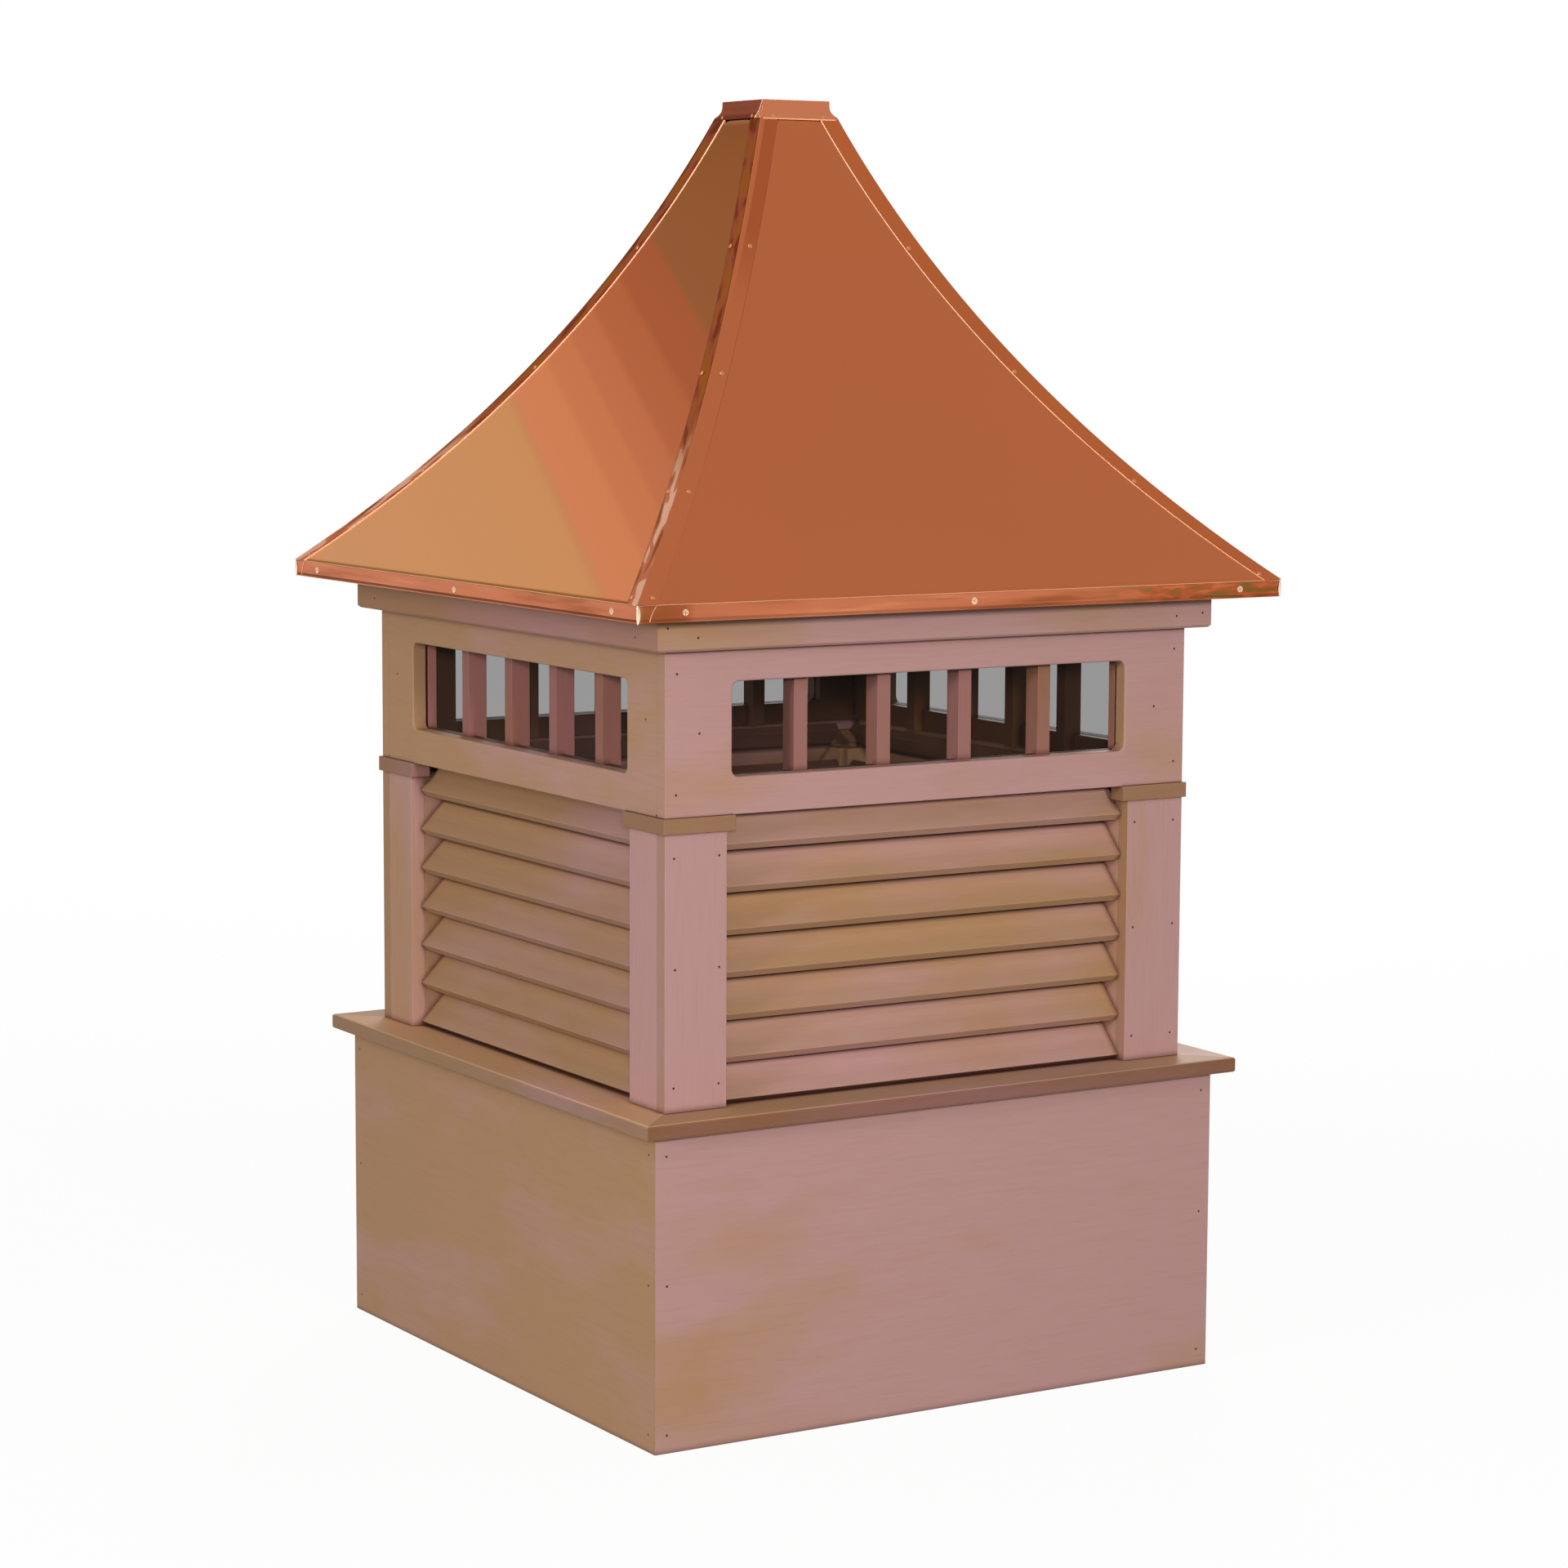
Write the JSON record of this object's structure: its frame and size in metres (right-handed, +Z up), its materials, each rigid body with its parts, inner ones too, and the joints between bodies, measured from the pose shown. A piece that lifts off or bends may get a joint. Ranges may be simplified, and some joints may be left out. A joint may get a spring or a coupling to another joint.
{
  "type": "cupola",
  "caption": "Square wooden roof cupola with a board base, louvred body, window band with upright bars, and a flared copper roof closed by a collar.",
  "frame": {"origin": "centre of the footprint, at the underside of the base", "axes": "+Z up, -Y out of the front, X along the front; each side is square to an axis"},
  "size_m": [0.9352, 0.9352, 1.6231],
  "materials": {
    "boards": "smooth unpainted tan boards",
    "screen": "fine grey insect mesh",
    "copper": "bright rolled copper sheet"
  },
  "bodies": {
    "root": {"base_panel_front": "boards", "base_panel_right": "boards", "base_panel_back": "boards", "base_panel_left": "boards", "sill_front": "boards", "sill_right": "boards", "sill_back": "boards", "sill_left": "boards", "post_face_front_left": "boards", "post_face_front_right": "boards", "post_face_back_right": "boards", "post_face_back_left": "boards", "post_side_front_left": "boards", "post_side_front_right": "boards", "post_side_back_right": "boards", "post_side_back_left": "boards", "post_caps": "boards", "louvre_jambs": "boards", "louvre_front": "boards", "louvre_right": "boards", "louvre_back": "boards", "louvre_left": "boards", "transom_front": "boards", "transom_right": "boards", "transom_back": "boards", "transom_left": "boards", "window_frame_front": "boards", "window_frame_right": "boards", "window_frame_back": "boards", "window_frame_left": "boards", "window_screens": "screen", "fascia_front": "boards", "fascia_right": "boards", "fascia_back": "boards", "fascia_left": "boards", "roof_deck": "boards", "roof_frame": "boards", "eave_band": "copper", "roof_panel_front": "copper", "roof_panel_right": "copper", "roof_panel_back": "copper", "roof_panel_left": "copper", "hip_caps": "copper", "collar": "copper"}
  },
  "joints": []
}
